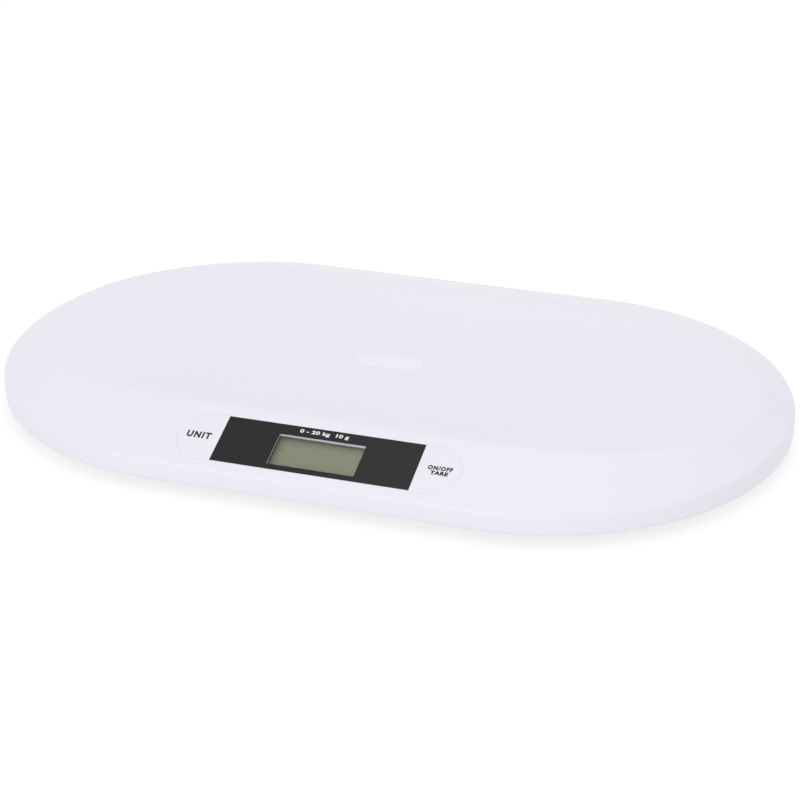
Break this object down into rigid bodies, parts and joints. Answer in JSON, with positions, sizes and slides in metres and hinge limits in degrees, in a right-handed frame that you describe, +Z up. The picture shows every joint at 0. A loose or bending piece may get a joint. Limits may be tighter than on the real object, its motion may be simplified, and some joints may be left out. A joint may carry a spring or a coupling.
{
  "type": "digital baby weighing scale",
  "caption": "Low stadium-shaped scale tray with a shallow bowl, a tilted display window between push keys on the front shelf, and load-cell feet below.",
  "frame": {"origin": "centre of the tray's outline, at the level the foot pads stand on", "axes": "+X along the tray's length to the user's right, +Y from the display side to the far side, +Z up"},
  "size_m": [0.55, 0.33, 0.041],
  "materials": {
    "tray_plastic": "satin, moulded, slightly lavender white",
    "badge_plastic": "smooth, a little lighter than the tray",
    "window_print": "clear sheet printed black from behind, satin front",
    "key_plastic": "satin, moulded with the tray's colour",
    "display_glass": "liquid-crystal glass, grey-green when off",
    "frame_plastic": "fine matte",
    "strip_rubber": "soft, striped conductive rubber",
    "board_laminate": "solder mask",
    "component_black": "moulded",
    "plunger_plastic": "moulded",
    "socket_plastic": "moulded nylon",
    "cover_plastic": "fine matte, moulded",
    "door_plastic": "fine matte, moulded",
    "battery_jacket": "printed sleeve over a steel can, blank",
    "contact_steel": "nickel-plated spring steel",
    "lead_insulation": "soft insulation",
    "screw_steel": "zinc-plated",
    "cell_steel": "bare alloy steel",
    "clamp_plastic": "moulded",
    "cup_plastic": "moulded",
    "pad_rubber": "soft, matte"
  },
  "bodies": {
    "scale_body": {"top_shell": "tray_plastic", "badge": "badge_plastic", "display_window": "window_print", "display_glass": "display_glass", "display_frame": "frame_plastic", "contact_strips": "strip_rubber", "main_board": "board_laminate", "tact_switches": "component_black", "controller_chip": "component_black", "lead_sockets": "socket_plastic", "bottom_cover": "cover_plastic", "batteries": "battery_jacket", "plate_contacts": "contact_steel", "spring_contacts": "contact_steel", "load_cell_leads": "lead_insulation", "battery_leads": "lead_insulation", "board_screws": "screw_steel", "cover_screws": "screw_steel", "clamp_screws": "screw_steel", "load_cell_front_left": "cell_steel", "load_cell_clamp_front_left": "clamp_plastic", "load_cell_front_right": "cell_steel", "load_cell_clamp_front_right": "clamp_plastic", "load_cell_rear_left": "cell_steel", "load_cell_clamp_rear_left": "clamp_plastic", "load_cell_rear_right": "cell_steel", "load_cell_clamp_rear_right": "clamp_plastic"},
    "unit_button": {"unit_button": "key_plastic"},
    "power_button": {"power_button": "key_plastic"},
    "unit_switch_plunger": {"unit_switch_plunger": "plunger_plastic"},
    "power_switch_plunger": {"power_switch_plunger": "plunger_plastic"},
    "battery_door": {"battery_door": "door_plastic"},
    "foot_front_left": {"foot_cup_front_left": "cup_plastic", "foot_pad_front_left": "pad_rubber"},
    "foot_front_right": {"foot_cup_front_right": "cup_plastic", "foot_pad_front_right": "pad_rubber"},
    "foot_rear_left": {"foot_cup_rear_left": "cup_plastic", "foot_pad_rear_left": "pad_rubber"},
    "foot_rear_right": {"foot_cup_rear_right": "cup_plastic", "foot_pad_rear_right": "pad_rubber"}
  },
  "joints": [
    {"name": "unit_button_press", "type": "slide", "parent": "scale_body", "child": "unit_button", "axis": [0, 0.342, -0.9397], "range_m": [0, 0.0005], "stiffness_N_per_m": 400, "springref_m": -0.0005},
    {"name": "unit_plunger_press", "type": "slide", "parent": "scale_body", "child": "unit_switch_plunger", "axis": [0, 0.342, -0.9397], "range_m": [0, 0.0005]},
    {"name": "power_button_press", "type": "slide", "parent": "scale_body", "child": "power_button", "axis": [0, 0.342, -0.9397], "range_m": [0, 0.0005], "stiffness_N_per_m": 400, "springref_m": -0.0005},
    {"name": "power_plunger_press", "type": "slide", "parent": "scale_body", "child": "power_switch_plunger", "axis": [0, 0.342, -0.9397], "range_m": [0, 0.0005]},
    {"name": "battery_door_hinge", "type": "hinge", "parent": "scale_body", "child": "battery_door", "pos_m": [0, -0.0196, 0.0098], "axis": [1, 0, 0], "range_deg": [0, 90]},
    {"name": "foot_front_left_travel", "type": "slide", "parent": "scale_body", "child": "foot_front_left", "axis": [0, 0, 1], "range_m": [0, 0.0004], "stiffness_N_per_m": 4000, "springref_m": -0.0008, "deforming": ["load_cell_front_left"]},
    {"name": "foot_front_right_travel", "type": "slide", "parent": "scale_body", "child": "foot_front_right", "axis": [0, 0, 1], "range_m": [0, 0.0004], "stiffness_N_per_m": 4000, "springref_m": -0.0008, "deforming": ["load_cell_front_right"]},
    {"name": "foot_rear_left_travel", "type": "slide", "parent": "scale_body", "child": "foot_rear_left", "axis": [0, 0, 1], "range_m": [0, 0.0004], "stiffness_N_per_m": 4000, "springref_m": -0.0008, "deforming": ["load_cell_rear_left"]},
    {"name": "foot_rear_right_travel", "type": "slide", "parent": "scale_body", "child": "foot_rear_right", "axis": [0, 0, 1], "range_m": [0, 0.0004], "stiffness_N_per_m": 4000, "springref_m": -0.0008, "deforming": ["load_cell_rear_right"]}
  ],
  "couplings": [
    {"joint": "unit_plunger_press", "follows": "unit_button_press", "ratio": 1},
    {"joint": "power_plunger_press", "follows": "power_button_press", "ratio": 1}
  ]
}
